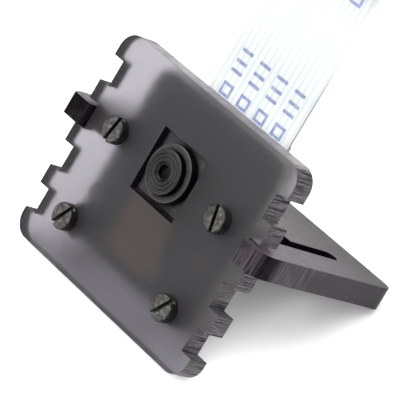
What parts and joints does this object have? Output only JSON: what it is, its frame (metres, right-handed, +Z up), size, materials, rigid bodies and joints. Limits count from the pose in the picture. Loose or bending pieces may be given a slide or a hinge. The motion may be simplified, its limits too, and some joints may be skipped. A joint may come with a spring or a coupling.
{
  "type": "camera board stand",
  "caption": "Notched acrylic plate propped up by a forked plug-in leg, holding a small camera board on nylon screws, with lens and ribbon cable.",
  "frame": {"origin": "middle of the rear bottom edge of the camera plate, which is the line it stands on, at table level", "axes": "+X across the plate to the right as seen from in front, +Y to the rear, away from the lens, +Z up from the table"},
  "size_m": [0.0394, 0.0462, 0.053],
  "materials": {
    "smoked_acrylic": "smoked translucent cast acrylic, satin faces, laser-cut edges",
    "black_nylon": "moulded nylon, slightly worn",
    "circuit_board": "green solder mask over fibreglass",
    "foam": "adhesive foam",
    "flex_circuit": "amber polyimide",
    "silicon": "polished die",
    "filter_glass": "coated glass",
    "black_plastic": "moulded, fine matt",
    "lens_glass": "coated lens",
    "connector_plastic": "natural moulded plastic",
    "latch_plastic": "black moulded plastic",
    "tinned_metal": "tin plated",
    "cable_film": "white film with faint conductors",
    "blue_film": "blue stiffening film",
    "chip_plastic": "moulded chip body",
    "can_metal": "metal lid",
    "ceramic": "fired ceramic with tinned ends",
    "led_plastic": "tinted lens"
  },
  "bodies": {
    "frame": {"camera_plate": "smoked_acrylic", "camera_screws": "black_nylon", "spacer_nuts": "black_nylon", "back_nuts": "black_nylon", "camera_board": "circuit_board", "foam_pad": "foam", "sensor_flex": "flex_circuit", "image_sensor": "silicon", "ir_filter": "filter_glass", "lens_housing": "black_plastic", "flex_plug": "connector_plastic", "flex_socket": "connector_plastic", "ribbon_socket": "connector_plastic", "socket_contacts": "tinned_metal", "ribbon_root": "cable_film", "root_contacts": "tinned_metal", "root_stiffener": "blue_film", "regulators": "chip_plastic", "oscillator": "can_metal", "capacitors": "ceramic", "resistors": "chip_plastic", "status_led": "led_plastic"},
    "leg": {"stand_leg": "smoked_acrylic"},
    "cable": {"ribbon_free": "cable_film", "end_contacts": "tinned_metal", "end_stiffener": "blue_film"},
    "latch": {"ribbon_latch": "latch_plastic"},
    "lens_stack": {"front_lens": "lens_glass", "stop_ring": "black_plastic", "rear_lens": "lens_glass", "retainer_ring": "black_plastic"},
    "focus_barrel": {"lens_barrel": "black_plastic"}
  },
  "joints": [
    {"name": "leg_slide", "type": "slide", "parent": "frame", "child": "leg", "axis": [0, 0.8092, -0.5875], "range_m": [0, 0.006]},
    {"name": "cable_bend", "type": "hinge", "parent": "frame", "child": "cable", "pos_m": [0, 0.02367, 0.02545], "axis": [1, 0, 0], "range_deg": [-60, 60], "stiffness_Nm_per_rad": 0.001},
    {"name": "latch_slide", "type": "slide", "parent": "frame", "child": "latch", "axis": [0, 0.5875, 0.8092], "range_m": [0, 0.0009]},
    {"name": "focus_travel", "type": "slide", "parent": "frame", "child": "lens_stack", "axis": [0, -0.8092, 0.5875], "range_m": [-0.000175, 0.000175]},
    {"name": "focus_turn", "type": "hinge", "parent": "lens_stack", "child": "focus_barrel", "pos_m": [0, 0.00844, 0.01673], "axis": [0, -0.8092, 0.5875], "range_deg": [-180, 180]}
  ],
  "couplings": [
    {"joint": "focus_turn", "follows": "focus_travel", "rad_per_m": 17952}
  ]
}
